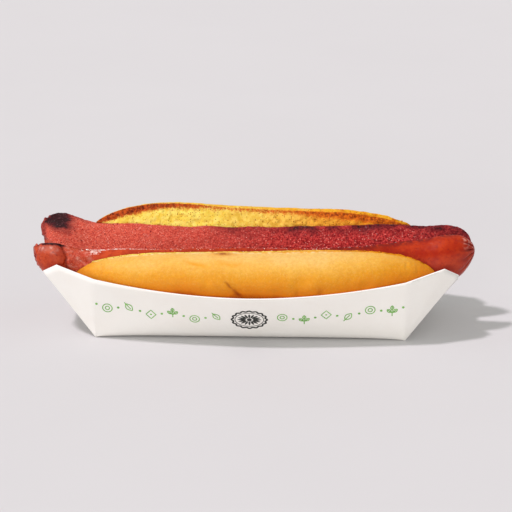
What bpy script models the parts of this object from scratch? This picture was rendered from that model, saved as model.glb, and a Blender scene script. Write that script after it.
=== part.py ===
"""Hot dog in its paper tray: a split grilled sausage in a hinged long bun, in a folded card tray.

X runs along the sausage, Y from the front of the tray to its back, Z up. The origin is at the bottom
centre of the tray. Sizes are in millimetres, and MM turns them into Blender's metres.
"""
import bmesh
import bpy
import numpy as np
from mathutils import Vector

MM = 0.001
WELD = 0.00001

# Tray: a one-piece card with a flat base, long walls that belly out, and leaning end walls.
CARD = 0.6
BASE_HALF_LENGTH = 64.0
BASE_HALF_WIDTH = 26.0
WALL_MID_SPREAD = 39.2
WALL_MID_HEIGHT = 21.7
CREASE_SPREAD = 33.0
CREASE_HEIGHT = 27.4
PEAK = (80.0, -25.6, 31.1)
END_CORNER = (86.0, -20.0, 26.7)
END_MID_HEIGHT = 19.9
END_BELLY = 1.0
FOLD_ROUNDING = 4.5
# A wall's top edge moves from its middle to its crease by these powers of the way there.
SPREAD_POWER = 1.6
HEIGHT_POWER = 2.0
FOLD_POWER = 4.0
END_POWER = 2.4
FOLD_STEPS = (0, 0.35, 0.7, 1)
WALL_COLUMNS = 24
END_COLUMNS = 8

# Sausage: two lobes of half-round section that share a hinge of meat along the bottom.
SAUSAGE_RADIUS = 11.5
CUT_FACE_CROWN = 0.10
LEFT_CAP_LENGTH = 12.0
RIGHT_CAP_LENGTH = 17.0
CAP_POWER = 0.55
LOBE_STATIONS = 33
LOBE_AROUND = 22
# Each station: x, then the middle of the cut face in y and z, then its tilt in degrees.
FAR_LOBE = (
    (-89.5, 14.0, 35.8, 20.0),
    (-80.0, 12.5, 34.2, 22.0),
    (-68.0, 9.8, 29.6, 32.0),
    (-50.0, 7.2, 28.0, 44.0),
    (-10.0, 6.3, 27.0, 50.0),
    (45.0, 6.3, 28.2, 52.0),
    (75.0, 5.6, 28.9, 62.0),
    (92.0, 6.5, 32.6, 66.0),
)
NEAR_LOBE = (
    (-90.5, -12.0, 34.0, 32.0),
    (-80.0, -10.5, 32.2, 34.0),
    (-68.0, -8.8, 28.0, 40.0),
    (-50.0, -7.2, 26.4, 46.0),
    (-10.0, -6.3, 26.2, 50.0),
    (45.0, -6.3, 26.8, 54.0),
    (75.0, -5.2, 28.2, 74.0),
    (94.5, -5.6, 32.9, 80.0),
)

# Bun: two soft halves joined by a thick hinge under the sausage.
BUN_MIDDLE = 2.0
BUN_HALF_LENGTH = 77.0
BUN_STATIONS = 29
BUN_AROUND = 24
TIP_HEIGHT = 21.0
SPINE = 16.0
# Towards the ends the section shrinks upwards, downwards, outwards and at the hinge by these powers.
UP_POWER = 4.5
DOWN_POWER = 2.6
OUT_POWER = 2.1
HINGE_POWER = 12.0
# Section of the front half from the rim, over the crust and the base, to the hinge: y outwards, z.
HALF_SECTION = (
    (24.0, 37.9), (31.5, 36.2), (36.2, 31.2), (37.3, 24.5), (33.6, 16.0), (27.5, 7.5),
    (20.0, 2.6), (8.0, 1.3), (-4.0, 1.3), (-5.0, 6.0), (-3.0, 14.5), (20.5, 36.0),
)
# How much higher each rim stands along the bun: x, millimetres.
FRONT_RIM = ((-75.0, -3.2), (-40.0, -2.2), (0.0, -1.2), (40.0, -0.2), (80.0, 1.0))
BACK_RIM = ((-75.0, 6.0), (-35.0, 6.2), (-8.0, 4.2), (10.0, 3.6), (50.0, 3.6), (80.0, 3.0))
CLEARANCE = 0.4
# The sausage and the bun lie a little to the left in the tray.
FOOD_SHIFT = -0.9


def follow(stations, x):
    """Values on a smooth curve through (x, value, ...) stations, read at each x by Hermite pieces."""
    table = np.array(stations, float)
    knots = table[:, 0]
    values = table[:, 1:]
    slopes = np.gradient(values, knots, axis=0)
    i = np.clip(np.searchsorted(knots, x) - 1, 0, len(knots) - 2)
    step = (knots[i + 1] - knots[i])[:, None]
    t = np.clip((x - knots[i])[:, None] / step, 0.0, 1.0)
    start = (1 + 2 * t) * (1 - t) ** 2 * values[i] + t * (1 - t) ** 2 * step * slopes[i]
    end = t * t * (3 - 2 * t) * values[i + 1] - t * t * (1 - t) * step * slopes[i + 1]
    return start + end


def add_mesh(name, bm, collection):
    """New object at the origin that holds the given mesh, in millimetres made metres."""
    bmesh.ops.scale(bm, vec=(MM, MM, MM), verts=bm.verts)
    mesh = bpy.data.meshes.new(name)
    bm.to_mesh(mesh)
    bm.free()
    piece = bpy.data.objects.new(name, mesh)
    collection.objects.link(piece)
    return piece


def skin_over(rings):
    """Closed skin over a stack of rings (stations, points, xyz); a ring of no size is a tip."""
    bm = bmesh.new()
    grid = [[bm.verts.new(point) for point in ring] for ring in rings]
    for ring, following in zip(grid, grid[1:]):
        for a, b, c, d in zip(ring, ring[1:] + ring[:1], following[1:] + following[:1], following):
            bm.faces.new((a, b, c, d))
    bmesh.ops.remove_doubles(bm, verts=bm.verts, dist=WELD / MM)
    bmesh.ops.recalc_face_normals(bm, faces=bm.faces)
    return bm


def lobe_rings(stations, swell):
    """Half-round sections of one sausage lobe, each as much thicker than the meat as swell says."""
    first = stations[0][0]
    last = stations[-1][0]
    middle = (first + last) / 2
    half = (last - first) / 2
    x = middle + half * np.sin(np.linspace(-1, 1, LOBE_STATIONS) * np.pi / 2)
    y, z, tilt = follow(stations, x).T
    tilt = np.radians(tilt)
    side = np.sign(stations[0][1])
    cap = np.where(x < middle, LEFT_CAP_LENGTH, RIGHT_CAP_LENGTH)
    from_tip = np.clip((half - np.abs(x - middle)) / cap, 0, 1)
    taper = (1 - (1 - from_tip) ** 2) ** CAP_POWER
    turn = np.linspace(0, 2 * np.pi, LOBE_AROUND, endpoint=False)
    across = np.cos(turn)
    depth = np.where(np.sin(turn) > 0, np.sin(turn), np.sin(turn) * CUT_FACE_CROWN)
    radius = (SAUSAGE_RADIUS * taper)[:, None]
    u = radius * across + swell * across
    w = radius * depth + swell * np.sign(depth)
    rings = np.empty((LOBE_STATIONS, LOBE_AROUND, 3))
    rings[:, :, 0] = (x + swell * (x - middle) / half)[:, None]
    rings[:, :, 1] = y[:, None] + side * (u * np.cos(tilt)[:, None] + w * np.sin(tilt)[:, None])
    rings[:, :, 2] = z[:, None] + u * np.sin(tilt)[:, None] - w * np.cos(tilt)[:, None]
    rings[0] = rings[0].mean(axis=0)
    rings[-1] = rings[-1].mean(axis=0)
    return rings


def sausage_lobes(name, collection, cutters, swell=0.0):
    """Far and near lobe joined into one solid by a Boolean union."""
    far = add_mesh(name, skin_over(lobe_rings(FAR_LOBE, swell)), collection)
    near = add_mesh(name + "_near_lobe", skin_over(lobe_rings(NEAR_LOBE, swell)), cutters)
    combine(far, near, 'UNION')
    return far


def combine(piece, other, operation):
    """Boolean of two meshes, kept as a modifier; the other one becomes a hidden guide."""
    cut = piece.modifiers.new(operation.lower() + "_" + other.name, 'BOOLEAN')
    cut.operation = operation
    cut.solver = 'EXACT'
    cut.object = other
    other.hide_render = True
    other.display_type = 'WIRE'


def closed_curve(points, count):
    """Count points on a smooth closed curve through the given ones, by Catmull-Rom pieces."""
    knots = np.array(points, float)
    place = np.linspace(0, len(knots), count, endpoint=False)
    i = place.astype(int)
    t = (place - i)[:, None]
    before, start, end, after = (knots[(i + k) % len(knots)] for k in (-1, 0, 1, 2))
    return start + t / 2 * (end - before + t * (2 * before - 5 * start + 4 * end - after
                                                + t * (3 * (start - end) + after - before)))


def bun_half_rings(side):
    """Sections of one bun half; each shrinks about its spine towards the round ends."""
    section = closed_curve(HALF_SECTION, BUN_AROUND)
    out = section[:, 0] - SPINE
    up = section[:, 1] - TIP_HEIGHT
    s = np.sin(np.linspace(-1, 1, BUN_STATIONS) * np.pi / 2)[:, None]
    above, below, outside, hinge = (np.sqrt(1 - np.abs(s) ** power)
                                    for power in (UP_POWER, DOWN_POWER, OUT_POWER, HINGE_POWER))
    x = BUN_MIDDLE + BUN_HALF_LENGTH * s[:, 0]
    lift = 1 + follow(BACK_RIM if side > 0 else FRONT_RIM, x) / up.max()
    up = up * np.where(up > 0, lift, 1)
    rings = np.empty((BUN_STATIONS, BUN_AROUND, 3))
    rings[:, :, 0] = x[:, None]
    rings[:, :, 1] = side * (SPINE + out * np.where(out > 0, outside, hinge))
    rings[:, :, 2] = TIP_HEIGHT + up * np.where(up > 0, above, below)
    return rings


def make_bun(parts, cutters):
    """Bun halves joined at the hinge, with the bed that the sausage presses into them."""
    bun = add_mesh("bun", skin_over(bun_half_rings(-1)), parts)
    back = add_mesh("bun_back_half", skin_over(bun_half_rings(1)), cutters)
    bed = sausage_lobes("sausage_bed", cutters, cutters, CLEARANCE)
    combine(bun, back, 'UNION')
    combine(bun, bed, 'DIFFERENCE')
    return bun


def wall_column(foot, inset, top):
    """Points up one wall line: a rounded fold from the base, then straight to the top edge."""
    foot = Vector(foot)
    top = Vector(top)
    wall = (top - foot).normalized()
    inwards = Vector((0, -np.sign(foot.y), 0))
    start = foot + inwards * inset
    end = foot + wall * inset
    fold = [start * (1 - t) ** 2 + foot * 2 * t * (1 - t) + end * t * t for t in FOLD_STEPS]
    return fold + [end.lerp(top, 0.5), top]


def quarter_columns():
    """Wall lines from the middle of the front wall round the right corner to the end's middle."""
    columns = []
    for x in np.linspace(0, BASE_HALF_LENGTH, WALL_COLUMNS // 2 + 1):
        s = x / BASE_HALF_LENGTH
        spread = WALL_MID_SPREAD + (CREASE_SPREAD - WALL_MID_SPREAD) * s ** SPREAD_POWER
        height = WALL_MID_HEIGHT + (CREASE_HEIGHT - WALL_MID_HEIGHT) * s ** HEIGHT_POWER
        inset = FOLD_ROUNDING * np.sqrt(1 - s ** FOLD_POWER)
        columns.append(wall_column((x, -BASE_HALF_WIDTH, 0), inset, (x, -spread, height)))
    corner = (BASE_HALF_LENGTH, -BASE_HALF_WIDTH, 0)
    crease = Vector((BASE_HALF_LENGTH, -CREASE_SPREAD, CREASE_HEIGHT))
    peak = Vector(PEAK)
    for top in (crease.lerp(peak, 0.5), peak):
        columns.append(wall_column(corner, 0, top))
    for s in np.linspace(1, 0, END_COLUMNS // 2 + 1):
        height = END_MID_HEIGHT + (END_CORNER[2] - END_MID_HEIGHT) * s ** END_POWER
        foot = (BASE_HALF_LENGTH, -BASE_HALF_WIDTH * s, 0)
        reach = END_CORNER[0] + END_BELLY * (1 - s * s)
        columns.append(wall_column(foot, 0, (reach, END_CORNER[1] * s, height)))
    return columns


def make_tray(parts):
    """Open sheet mirrored from one quarter round the base, with the card's thickness put inside."""
    quarter = quarter_columns()
    half = quarter + [[Vector((p.x, -p.y, p.z)) for p in column] for column in quarter[-2::-1]]
    loop = half + [[Vector((-p.x, p.y, p.z)) for p in column] for column in half[-2:0:-1]]
    bm = bmesh.new()
    grid = [[bm.verts.new(point) for point in column] for column in loop]
    for column, following in zip(grid, grid[1:] + grid[:1]):
        for a, b, c, d in zip(column, following, following[1:], column[1:]):
            bm.faces.new((a, b, c, d))
    bm.faces.new([column[0] for column in reversed(grid)])
    bmesh.ops.remove_doubles(bm, verts=bm.verts, dist=WELD / MM)
    bmesh.ops.recalc_face_normals(bm, faces=bm.faces)
    base = min(bm.faces, key=lambda face: face.calc_center_median().z)
    if base.normal.z > 0:
        bmesh.ops.reverse_faces(bm, faces=bm.faces)
    tray = add_mesh("tray", bm, parts)
    card = tray.modifiers.new("card", 'SOLIDIFY')
    card.thickness = CARD * MM
    card.offset = -1
    card.use_even_offset = True
    return tray


def paint(piece, name, colour, roughness):
    """Plain material of one colour on a piece."""
    material = bpy.data.materials.new(name)
    material.use_nodes = True
    shader = material.node_tree.nodes["Principled BSDF"]
    shader.inputs["Base Color"].default_value = colour + (1,)
    shader.inputs["Roughness"].default_value = roughness
    piece.data.materials.append(material)


def main():
    for old in list(bpy.data.objects):
        bpy.data.objects.remove(old)
    parts = bpy.data.collections.new("hot_dog")
    cutters = bpy.data.collections.new("cutters")
    for collection in (parts, cutters):
        bpy.context.scene.collection.children.link(collection)
    tray = make_tray(parts)
    bun = make_bun(parts, cutters)
    sausage = sausage_lobes("sausage", parts, cutters)
    for piece in (bun, sausage, *cutters.objects):
        piece.location.x = FOOD_SHIFT * MM
    paint(tray, "white_card", (0.84, 0.83, 0.80), 0.6)
    paint(bun, "golden_bread", (0.83, 0.46, 0.12), 0.6)
    paint(sausage, "grilled_sausage", (0.45, 0.07, 0.04), 0.4)
    origin = bpy.data.objects.new("hot_dog_origin", None)
    parts.objects.link(origin)
    for piece in (tray, bun, sausage):
        piece.parent = origin


main()
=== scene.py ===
# %% [markdown]
# # A grilled hot dog in its paper tray
# The real thing is a long bun cut and hinged along its bottom, a sausage split almost through and
# opened like a book, and a one-piece card tray that carries them. The CAD model already holds these
# three solids at their true size. This notebook dresses them: every visible surface is worked out
# as a function of two parameters with numpy, in millimetres, and laid exactly where its solid is.

# %% Load the fixed frame
import itertools
import math

import bmesh
import bpy
import numpy as np
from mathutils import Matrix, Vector


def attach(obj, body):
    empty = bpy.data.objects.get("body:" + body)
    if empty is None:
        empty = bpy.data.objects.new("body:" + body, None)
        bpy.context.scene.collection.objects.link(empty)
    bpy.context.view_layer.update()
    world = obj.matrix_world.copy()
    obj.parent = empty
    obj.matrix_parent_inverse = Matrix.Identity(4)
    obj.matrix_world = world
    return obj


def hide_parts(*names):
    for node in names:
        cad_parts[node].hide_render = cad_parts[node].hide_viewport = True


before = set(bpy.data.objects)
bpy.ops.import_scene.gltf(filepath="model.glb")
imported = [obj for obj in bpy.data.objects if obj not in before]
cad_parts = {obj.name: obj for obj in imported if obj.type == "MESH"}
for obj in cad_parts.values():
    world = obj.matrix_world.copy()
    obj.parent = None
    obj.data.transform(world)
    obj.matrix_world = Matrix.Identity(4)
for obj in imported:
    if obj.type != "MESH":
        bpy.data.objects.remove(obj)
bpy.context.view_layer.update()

# %% [markdown]
# ## Tools for surfaces
# A surface is an array of points, rows by columns. Each cell of the grid becomes one quad, so the
# mesh can be made from whole arrays at once. The other way would be to model by hand with extrudes
# and loop cuts, but a formula keeps every piece exactly on its solid and easy to adjust.
# Numbers that vary over the surface, such as how charred the skin is, travel along as attributes.

# %% Grid of points to mesh
MM = 0.001
WELD = 0.0000015
scene = bpy.context.scene


def add_piece(name, points, faces):
    """Object at the origin from points in millimetres and the faces that join them."""
    mesh = bpy.data.meshes.new(name)
    mesh.from_pydata(points * MM, [], faces)
    piece = bpy.data.objects.new(name, mesh)
    scene.collection.objects.link(piece)
    return piece


def finish_mesh(name, points, faces, masks=None):
    """Smooth piece with its masks as attributes, its doubles merged and its faces outwards."""
    piece = add_piece(name, points.reshape(-1, 3), faces)
    mesh = piece.data
    for label, values in (masks or {}).items():
        layer = mesh.attributes.new(label, 'FLOAT', 'POINT')
        layer.data.foreach_set("value", np.ascontiguousarray(values, np.float32).ravel())
    bm = bmesh.new()
    bm.from_mesh(mesh)
    bmesh.ops.remove_doubles(bm, verts=bm.verts, dist=WELD)
    bmesh.ops.dissolve_degenerate(bm, edges=bm.edges, dist=WELD / 3)
    if bm.calc_volume(signed=True) < 0:
        bmesh.ops.reverse_faces(bm, faces=bm.faces)
    for face in bm.faces:
        face.smooth = True
    bm.to_mesh(mesh)
    bm.free()
    print(name, len(mesh.vertices), "points,", sum(len(p.vertices) - 2 for p in mesh.polygons),
          "triangles")
    return piece


def grid_faces(rows, columns):
    """Quads of a closed grid: each joins a point to the next one round, and to the row above."""
    index = np.arange(rows * columns).reshape(rows, columns)
    after = np.roll(index, -1, axis=1)
    return np.stack((index[:-1], after[:-1], after[1:], index[1:]), axis=-1).reshape(-1, 4)


def grid_normals(grid, inside):
    """Unit normals: the cross product of the two grid directions, on the side away from inside."""
    across = (np.roll(grid, -1, axis=1) - np.roll(grid, 1, axis=1)) / 2
    normal = np.cross(np.gradient(grid, axis=0), across)
    normal /= np.maximum(np.linalg.norm(normal, axis=2, keepdims=True), 1e-9)
    return normal * np.sign((normal * (grid - inside)).sum())


print("points closer than", round(WELD / MM, 4), "mm are merged")

# %% Curves, steps and random fields
def follow(stations, x):
    """Values on a smooth curve through (x, value, ...) stations, read at each x by Hermite pieces."""
    table = np.array(stations, float)
    knots, values = table[:, 0], table[:, 1:]
    slopes = np.gradient(values, knots, axis=0)
    i = np.clip(np.searchsorted(knots, x) - 1, 0, len(knots) - 2)
    step = (knots[i + 1] - knots[i])[:, None]
    t = np.clip((x - knots[i])[:, None] / step, 0.0, 1.0)
    start = (1 + 2 * t) * (1 - t) ** 2 * values[i] + t * (1 - t) ** 2 * step * slopes[i]
    end = t * t * (3 - 2 * t) * values[i + 1] - t * t * (1 - t) * step * slopes[i + 1]
    return start + end


def even_places(path, steps, count, endpoint=True):
    """Places on a path that are the same length apart, from the length of each of its steps."""
    length = np.concatenate([[0], np.cumsum(steps)])
    return np.interp(np.linspace(0, length[-1], count, endpoint=endpoint), length, path)


def ease(low, high, value):
    """Smooth step from 0 at low to 1 at high: three t squared less two t cubed."""
    t = np.clip((value - low) / (high - low), 0, 1)
    return t * t * (3 - 2 * t)


def bump(value, middle, width):
    """Bell curve of height 1: e to the power of minus the squared distance over the width."""
    return np.exp(-((value - middle) / width) ** 2)


def noise(points, size, seed):
    """Random values at the corners of a lattice of cubes of the given size, blended between them."""
    values = np.random.default_rng(seed).uniform(-1, 1, 8192)
    place = points / size
    cell = np.floor(place).astype(np.int64)
    blend = place - cell
    blend = blend * blend * (3 - 2 * blend)
    total = np.zeros(points.shape[:-1])
    for corner in itertools.product((0, 1), repeat=3):
        key = (cell + corner) * (73856093, 19349663, 83492791)
        pick = (key[..., 0] ^ key[..., 1] ^ key[..., 2]) % len(values)
        total += values[pick] * np.where(corner, blend, 1 - blend).prod(axis=-1)
    return total


def rough(points, size, seed, layers=3, stretch=1):
    """Several noises on top of each other, each half the size and half the height of the last."""
    points = points * stretch
    return sum(noise(points, size / 2 ** k, seed + k) / 2 ** k for k in range(layers))


sample = rough(np.linspace((0, 0, 0), (90, 60, 30), 500), 5.0, 0)
print("a rough field runs from", round(sample.min(), 2), "to", round(sample.max(), 2))

# %% [markdown]
# ## Tools for materials
# Nodes are laid out by a small class, so that a material reads like a recipe. Three effects come
# back in several materials: blotches of uneven colour, sharp-edged specks, and a fine unevenness of
# the surface. Each is built once as a node group with named inputs, and every material places it
# with its own values. Image textures would be quicker to start with, but they blur when seen close.

# %% Recipes of nodes
def colour(code):
    """Linear red, green, blue and alpha of an sRGB colour written as six hexadecimal digits."""
    parts = [int(code[i:i + 2], 16) / 255 for i in (0, 2, 4)]
    return [v / 12.92 if v <= 0.04045 else ((v + 0.055) / 1.055) ** 2.4 for v in parts] + [1.0]


class Recipe:
    """A node tree in the making: most methods add a node and return the socket it puts out."""

    def __init__(self, tree, ends):
        self.tree, self.ends = tree, ends

    def put(self, kind, values=None, **settings):
        """New node; values fill its sockets with a link, a colour code or a plain number."""
        node = self.tree.nodes.new(kind)
        for key, value in settings.items():
            setattr(node, key, value)
        for key, value in (values or {}).items():
            if isinstance(value, bpy.types.NodeSocket):
                self.tree.links.new(value, node.inputs[key])
            else:
                node.inputs[key].default_value = colour(value) if isinstance(value, str) else value
        return node

    def feed(self, label, socket):
        """Links a socket to one of the ends of the recipe: the shader's or the group's."""
        self.tree.links.new(socket, self.ends[label])

    def mix(self, share, first, second):
        """Colour that goes from first to second as the share goes from 0 to 1."""
        return self.put('ShaderNodeMix', {0: share, 6: first, 7: second}, data_type='RGBA').outputs[2]

    def math(self, operation, first, second, clamp=False):
        """One step of arithmetic between two sockets or numbers."""
        return self.put('ShaderNodeMath', {0: first, 1: second}, operation=operation,
                        use_clamp=clamp).outputs[0]

    def times(self, first, second, clamp=False):
        """First multiplied by second."""
        return self.math('MULTIPLY', first, second, clamp)

    def less(self, first, second, clamp=False):
        """Second taken away from first."""
        return self.math('SUBTRACT', first, second, clamp)

    def plus(self, first, second):
        """Sum of the two."""
        return self.math('ADD', first, second)

    def span(self, value, low, high, kind='SMOOTHSTEP'):
        """Share of the way that the value has gone from low to high."""
        return self.put('ShaderNodeMapRange', {'Value': value, 'From Min': low, 'From Max': high},
                        interpolation_type=kind).outputs[0]

    def numbers(self, labels):
        """Some of the numbers that the mesh carries."""
        return [self.put('ShaderNodeAttribute', attribute_name=label).outputs['Fac']
                for label in labels.split()]

    def shared(self, name, *values):
        """Output of a shared group, placed with values for its inputs in their order."""
        return self.put('ShaderNodeGroup', dict(enumerate(values)),
                        node_tree=bpy.data.node_groups[name]).outputs[0]

    def blotches(self, scale, low, high):
        """Clouds: 0 where the noise is below low, 1 above high."""
        return self.shared("blotches", scale, low, high)

    def specks(self, scale, size, share):
        """Round specks in a share of the cells."""
        return self.shared("specks", scale, size, share)

    def relief(self, height, distance, strength):
        """Feeds a height through a Bump node into the Normal; distance is in metres."""
        node = self.put('ShaderNodeBump', {'Height': height, 'Distance': distance,
                                           'Strength': strength})
        self.feed('Normal', node.outputs[0])


def material(name, **constants):
    """Material and its empty recipe; constants go straight on the Principled shader's sockets."""
    made = bpy.data.materials.new(name)
    made.use_nodes = True
    shader = made.node_tree.nodes["Principled BSDF"]
    for key, value in constants.items():
        shader.inputs[key.replace("_", " ")].default_value = value
    return made, Recipe(made.node_tree, shader.inputs)


print("grey 808080 is", round(colour("808080")[0], 3), "in linear light")

# %% Effects that several materials share
def group(name, output, **inputs):
    """Empty node group of float sockets: its recipe, its given inputs and its Object coordinates."""
    tree = bpy.data.node_groups.new(name, 'ShaderNodeTree')
    for label, value in inputs.items():
        socket = tree.interface.new_socket(label, in_out='INPUT', socket_type='NodeSocketFloat')
        socket.default_value = value
    tree.interface.new_socket(output, in_out='OUTPUT', socket_type='NodeSocketFloat')
    r = Recipe(tree, tree.nodes.new('NodeGroupOutput').inputs)
    return r, r.put('NodeGroupInput').outputs, r.put('ShaderNodeTexCoord').outputs['Object']


def blotches_group():
    """Cloudy noise in Object coordinates, stretched so that it is 0 below Low and 1 above High."""
    r, given, place = group("blotches", "Mask", Scale=300, Low=0.4, High=0.6)
    cloud = r.put('ShaderNodeTexNoise', {'Vector': place, 'Scale': given["Scale"], 'Detail': 4.0,
                                         'Roughness': 0.6})
    r.feed("Mask", r.span(cloud.outputs[0], given["Low"], given["High"]))


def specks_group():
    """Round cells in Object coordinates: 1 inside a speck of the given Size, 0 outside it."""
    r, given, place = group("specks", "Mask", Scale=900, Size=0.25, Share=0.5)
    bend = r.put('ShaderNodeTexNoise', {'Vector': place, 'Scale': given["Scale"]})
    off = r.put('ShaderNodeVectorMath', {0: bend.outputs['Color'], 1: (0.0004,) * 3},
                operation='MULTIPLY')
    moved = r.put('ShaderNodeVectorMath', {0: place, 1: off.outputs[0]}, operation='ADD')
    cells = r.put('ShaderNodeTexVoronoi', {'Vector': moved.outputs[0], 'Scale': given["Scale"]})
    inside = r.span(cells.outputs['Distance'], given["Size"], r.times(given["Size"], 0.55), 'LINEAR')
    chosen = r.put('ShaderNodeSeparateColor', {'Color': cells.outputs['Color']}).outputs[0]
    r.feed("Mask", r.times(inside, r.math('LESS_THAN', chosen, given["Share"])))


def grain_group():
    """Height of a fine grain: two noises in Object coordinates, one a quarter of the other's size."""
    r, given, place = group("grain", "Height", Scale=900, Fine=0.4)
    coarse = r.put('ShaderNodeTexNoise', {'Vector': place, 'Scale': given["Scale"], 'Detail': 3.0})
    small = r.put('ShaderNodeTexNoise', {'Vector': place, 'Scale': r.times(given["Scale"], 4.0)})
    r.feed("Height", r.plus(coarse.outputs[0], r.times(small.outputs[0], given["Fine"])))


blotches_group()
specks_group()
grain_group()
print("shared effects:", ", ".join(tree.name for tree in bpy.data.node_groups))

# %% [markdown]
# ## Shape of the sausage
# A sausage that is split and opened lies as two half-round lobes: grilled skin below and outside, a
# rough cut face on top. Each lobe is a loft. At every x along it the section is a half disc whose
# middle, tilt and radius follow smooth curves, the same ones as the solid's. A simple tube with
# a texture would miss the flat cut face, and sculpting would lose the exact place in the bun.

# %% Lobe formula
RADIUS = 11.5
CROWN = 0.10
LEFT_CAP, RIGHT_CAP = 12.0, 17.0
CAP_POWER = 0.55
# The sausage and the bun lie this far to the left in the tray.
FOOD_SHIFT = np.array((-0.9, 0.0, 0.0))
# Each station: x, then the middle of the cut face in y and z, then its tilt in degrees.
FAR_LOBE = (
    (-89.5, 14.0, 35.8, 20.0), (-80.0, 12.5, 34.2, 22.0), (-68.0, 9.8, 29.6, 32.0),
    (-50.0, 7.2, 28.0, 44.0), (-10.0, 6.3, 27.0, 50.0), (45.0, 6.3, 28.2, 52.0),
    (62.0, 6.0, 28.6, 57.0), (75.0, 5.6, 28.1, 61.0), (92.8, 6.5, 32.5, 66.0),
)
NEAR_LOBE = (
    (-90.5, -12.0, 34.0, 32.0), (-80.0, -10.5, 32.2, 34.0), (-68.0, -8.8, 28.0, 40.0),
    (-50.0, -7.2, 26.4, 46.0), (-10.0, -6.3, 26.2, 50.0), (45.0, -6.3, 26.8, 54.0),
    (75.0, -5.2, 28.2, 74.0), (94.5, -5.6, 32.9, 80.0),
)
LOBE_ROWS, LOBE_COLUMNS = 540, 176


def lobe_frame(stations, x):
    """Middle (y, z), tilt and radius at each x: the radius is a rounded power of the way to a tip."""
    first, last = stations[0][0], stations[-1][0]
    middle, half = (first + last) / 2, (last - first) / 2
    y, z, tilt = follow(stations, x).T
    cap = np.where(x < middle, LEFT_CAP, RIGHT_CAP)
    from_tip = np.clip((half - np.abs(x - middle)) / cap, 0, 1)
    return y, z, np.radians(tilt), RADIUS * (1 - (1 - from_tip) ** 2) ** CAP_POWER


def lobe_rows(stations):
    """Places along x that are evenly spaced on the lobe's outline, so round tips get enough rows."""
    first, last = stations[0][0], stations[-1][0]
    x = (first + last) / 2 + (last - first) / 2 * np.sin(np.linspace(-1, 1, 4001) * np.pi / 2)
    radius = lobe_frame(stations, x)[3]
    return even_places(x, np.hypot(np.diff(x), np.diff(radius)), LOBE_ROWS)


def on_lobe(stations, x, turn):
    """Point at x and at an angle round the half disc: cosine across, sine deep on the skin side."""
    y, z, tilt, radius = lobe_frame(stations, x)
    side = np.sign(stations[0][1])
    sine = np.sin(turn)
    u = radius * np.cos(turn)
    w = radius * np.where(sine > 0, sine, -CROWN * np.abs(sine) ** 0.7)
    return np.stack([x, y + side * (u * np.cos(tilt) + w * np.sin(tilt)),
                     z + u * np.sin(tilt) - w * np.cos(tilt)], axis=-1)


def lobe_grid(stations):
    """Grid of a lobe with its x, angle, points and outward normals."""
    x = lobe_rows(stations)
    y, z, tilt, radius = lobe_frame(stations, x)
    depth = radius * 0.3
    heart = np.stack([x, y + np.sign(stations[0][1]) * depth * np.sin(tilt),
                      z - depth * np.cos(tilt)], axis=-1)
    turn = np.linspace(-np.pi, np.pi, LOBE_COLUMNS, endpoint=False)
    x, turn = np.meshgrid(x, turn, indexing="ij")
    grid = on_lobe(stations, x.ravel(), turn.ravel()).reshape(LOBE_ROWS, LOBE_COLUMNS, 3)
    return x, turn, grid, grid_normals(grid, heart[:, None, :])


for stations in (FAR_LOBE, NEAR_LOBE):
    print("a lobe", stations[-1][0] - stations[0][0], "mm long and", 2 * RADIUS, "mm across")

# %% [markdown]
# ### Skin, cut face and char
# The cut face of the real sausage is coarse chopped meat, so the surface moves in and out there by
# a few tenths of a millimetre. The skin is tight and smooth, with shallow dents, a lip where it was
# cut, a pinched end and a torn fold. Char sits where the grill touched: round one end and along the
# upper edge. These are all functions of x and of the angle, so they need no painting by hand.

# %% Relief of both lobes
FLESH_DEPTH, LIP_HEIGHT = 0.17, 0.55


def pleats(grid, turn, seed):
    """Narrow pleats of a pinched end: a high power of a sine round it, unevenly spaced."""
    return np.abs(np.sin(turn * 6 + 1.5 * noise(grid, 6.0, seed))) ** 6


def shape_lobe(stations, seed):
    """Moves every point along its normal: chopped meat, dents, wrinkles, lip and pinched ends."""
    x, turn, grid, normal = lobe_grid(stations)
    flesh = ease(-0.02, 0.10, -np.sin(turn) + rough(grid, 3.0, seed) * 0.06)
    first, last = stations[0][0], stations[-1][0]
    chopped = rough(grid, 1.3, seed + 10, 2)
    meat = chopped * FLESH_DEPTH + rough(grid, 5.0, seed + 20, stretch=(0.4, 1, 1)) * 0.30
    dents = rough(grid, 11.0, seed + 30, 2, (0.6, 1, 1)) * (0.30 - 0.22 * ease(50, 66, x))
    wrinkles = rough(grid, 1.5, seed + 40, 2, (0.22, 1, 1)) * 0.07
    lip = LIP_HEIGHT * bump(turn, 0.0, 0.22) * (0.6 + 0.4 * noise(grid * (1, 0, 0), 9.0, seed + 50))
    lip *= ease(-66, -50, x) * ease(66, 50, x)
    snag = 0.75 * bump(x, first + 1.8, 1.6) * rough(grid, 1.5, seed + 70, 2)
    pinch = -0.9 * bump(x, last, 5.5) * pleats(grid, turn, seed + 60)
    fade = ease(0, 1.6, np.minimum(last - x, x - first))
    move = fade * (flesh * meat + (1 - flesh) * (dents + wrinkles + pinch) + lip + snag)
    # Hollows of the chopped meat get painted shade, carried as a mask.
    masks = {"flesh": flesh, "tone": ease(-60, 30, x), "pit": flesh * ease(-0.05, -0.75, chopped)}
    return x, turn, grid, normal, grid + normal * move[..., None], masks


def lobe_piece(name, shaped, masks, char, **more):
    """Lobe as a piece, with the strongest of its kinds of char."""
    masks |= {"char": np.clip(np.maximum.reduce(char), 0, 1)} | more
    return finish_mesh(name, shaped + FOOD_SHIFT, grid_faces(LOBE_ROWS, LOBE_COLUMNS), masks)


print("cut meat stands", FLESH_DEPTH, "mm in and out, the lip", LIP_HEIGHT, "mm out")

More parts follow.
